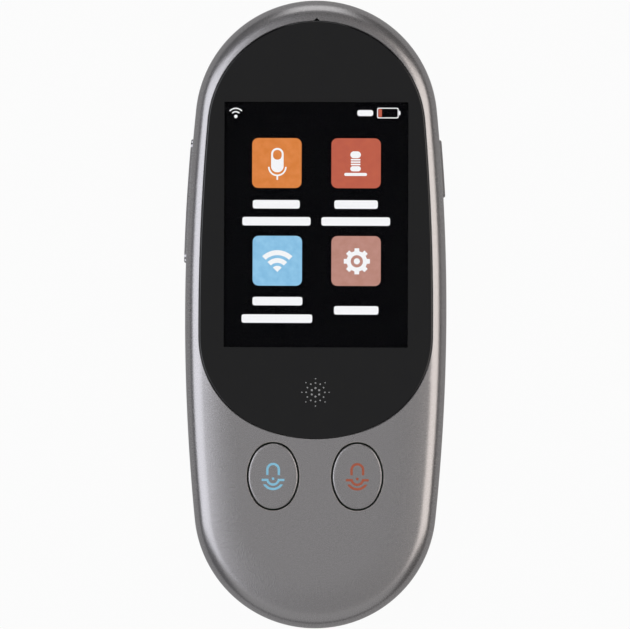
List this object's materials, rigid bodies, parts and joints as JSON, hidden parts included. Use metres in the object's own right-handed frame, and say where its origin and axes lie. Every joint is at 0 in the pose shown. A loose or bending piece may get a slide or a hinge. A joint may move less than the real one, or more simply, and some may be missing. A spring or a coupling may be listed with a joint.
{
  "type": "handheld translator",
  "caption": "Slim oval-ended handheld translator with a touch display, two talk buttons, a volume rocker, a power key and a charging inlet.",
  "frame": {"origin": "middle of the flat back", "axes": "+Z out of the display, +Y towards the top end, +X to the right as the display is read"},
  "size_m": [0.0527, 0.126, 0.0127],
  "materials": {
    "housing_paint": "moulded shell with satin metallic paint",
    "cover_paint": "moulded shell with satin metallic paint",
    "screw_steel": "plated steel",
    "cover_glass": "toughened glass, printed black behind",
    "tape_black": "double-sided foam tape",
    "optical_bond": "clear optical adhesive",
    "display_glass": "display cell",
    "light_guide": "white light guide",
    "flex_film": "polyimide film",
    "connector_resin": "ivory connector resin",
    "plate_steel": "pressed steel",
    "icon_blue": "light blue second shot",
    "icon_red": "rust red second shot",
    "silicone": "moulded silicone",
    "switch_black": "black switch resin",
    "switch_steel": "steel switch case",
    "board_laminate": "green solder resist on laminate",
    "can_tin": "tinned steel",
    "chip_resin": "black moulding compound",
    "battery_foil": "laminated foil pouch",
    "tape_white": "double-sided tape",
    "lead_red": "insulated wire",
    "speaker_case": "black speaker case",
    "gasket_foam": "closed-cell foam",
    "acoustic_mesh": "fine steel mesh",
    "socket_steel": "drawn steel shell",
    "tongue_resin": "black contact tongue",
    "microphone_can": "gold-plated can",
    "boot_rubber": "black rubber",
    "antenna_brass": "stamped strip"
  },
  "bodies": {
    "case": {"front_housing": "housing_paint", "rear_cover": "cover_paint", "housing_screws": "screw_steel", "cover_glass": "cover_glass", "glass_tape": "tape_black", "display_bond": "optical_bond", "display_panel": "display_glass", "backlight": "light_guide", "display_flex": "flex_film", "display_connector": "connector_resin", "display_support": "plate_steel", "support_screws": "screw_steel", "left_switch": "switch_steel", "right_switch": "switch_steel", "volume_switches": "switch_steel", "power_switch": "switch_steel", "main_board": "board_laminate", "shield_can": "can_tin", "processor_chip": "chip_resin", "memory_chip": "chip_resin", "power_chip": "chip_resin", "radio_chip": "chip_resin", "battery": "battery_foil", "battery_tape": "tape_white", "battery_leads": "lead_red", "battery_header": "connector_resin", "speaker": "speaker_case", "speaker_gasket": "gasket_foam", "speaker_mesh": "acoustic_mesh", "charge_socket": "socket_steel", "charge_tongue": "tongue_resin", "lower_microphone": "microphone_can", "lower_microphone_boot": "boot_rubber", "upper_microphone": "microphone_can", "upper_microphone_boot": "boot_rubber", "antenna": "antenna_brass"},
    "left_talk": {"left_button_cap": "housing_paint", "left_button_icon": "icon_blue", "left_button_pusher": "silicone", "left_switch_plunger": "switch_black"},
    "right_talk": {"right_button_cap": "housing_paint", "right_button_icon": "icon_red", "right_button_pusher": "silicone", "right_switch_plunger": "switch_black"},
    "volume": {"volume_key": "housing_paint"},
    "power": {"power_key": "housing_paint", "power_switch_plunger": "switch_black"}
  },
  "joints": [
    {"name": "left_talk_press", "type": "slide", "parent": "case", "child": "left_talk", "axis": [0, 0, -1], "range_m": [0, 0.0003], "stiffness_N_per_m": 600},
    {"name": "right_talk_press", "type": "slide", "parent": "case", "child": "right_talk", "axis": [0, 0, -1], "range_m": [0, 0.0003], "stiffness_N_per_m": 600},
    {"name": "volume_rock", "type": "hinge", "parent": "case", "child": "volume", "pos_m": [-0.02342, 0.02258, 0.00675], "axis": [0, 0, 1], "range_deg": [-1.2, 1.2], "stiffness_Nm_per_rad": 0.05},
    {"name": "power_press", "type": "slide", "parent": "case", "child": "power", "axis": [-0.9974, -0.0721, 0], "range_m": [0, 0.0003], "stiffness_N_per_m": 600}
  ]
}
